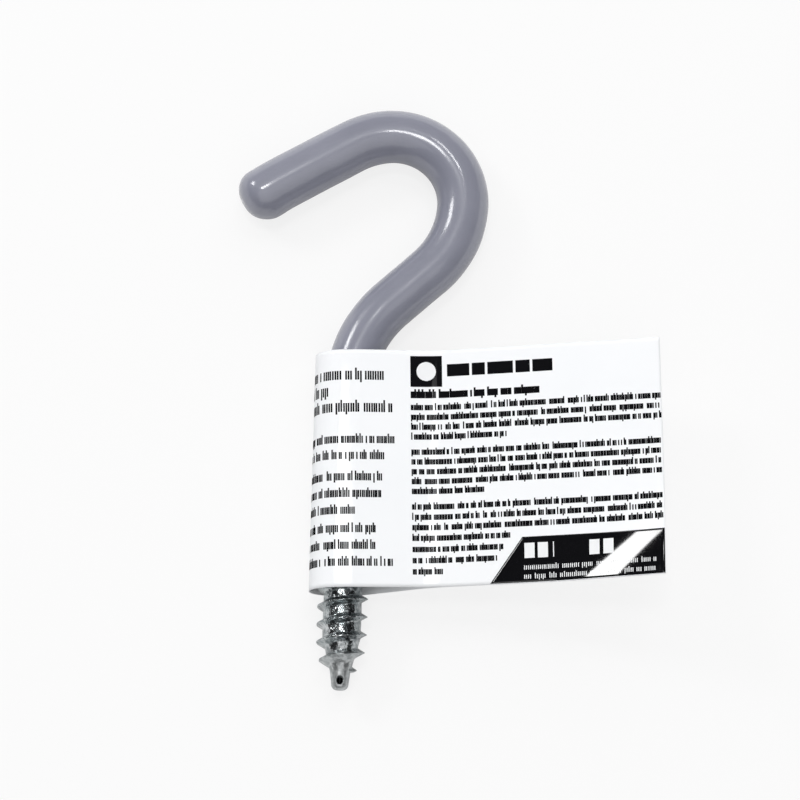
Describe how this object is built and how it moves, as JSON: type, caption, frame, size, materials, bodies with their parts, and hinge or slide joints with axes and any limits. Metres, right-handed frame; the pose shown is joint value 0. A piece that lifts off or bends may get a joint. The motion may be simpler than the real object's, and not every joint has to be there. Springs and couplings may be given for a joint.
{
  "type": "vinyl-coated screw hook",
  "caption": "Screw-in storage hook: a bent steel rod with a coarse wood-screw thread, a grey dipped vinyl coating and a plain folded tag wrapped round the shank.",
  "frame": {"origin": "on the screw's axis where the thread ends, which is where the wall's face comes when the hook is screwed home", "axes": "+Y along the shank from the wall towards the bend, -Y along the screw to its point, +X in the hook's plane towards the bulge of the bend, +Z across the hook's plane, upwards as it lies on its side"},
  "size_m": [0.0685, 0.0953, 0.0182],
  "materials": {
    "zinc_plated_steel": "bright zinc plating over a rolled thread",
    "grey_vinyl": "glossy dipped vinyl",
    "label_film": "white printed film, satin to glossy"
  },
  "bodies": {
    "root": {"steel_hook": "zinc_plated_steel", "vinyl_coating": "grey_vinyl", "label": "label_film"}
  },
  "joints": []
}
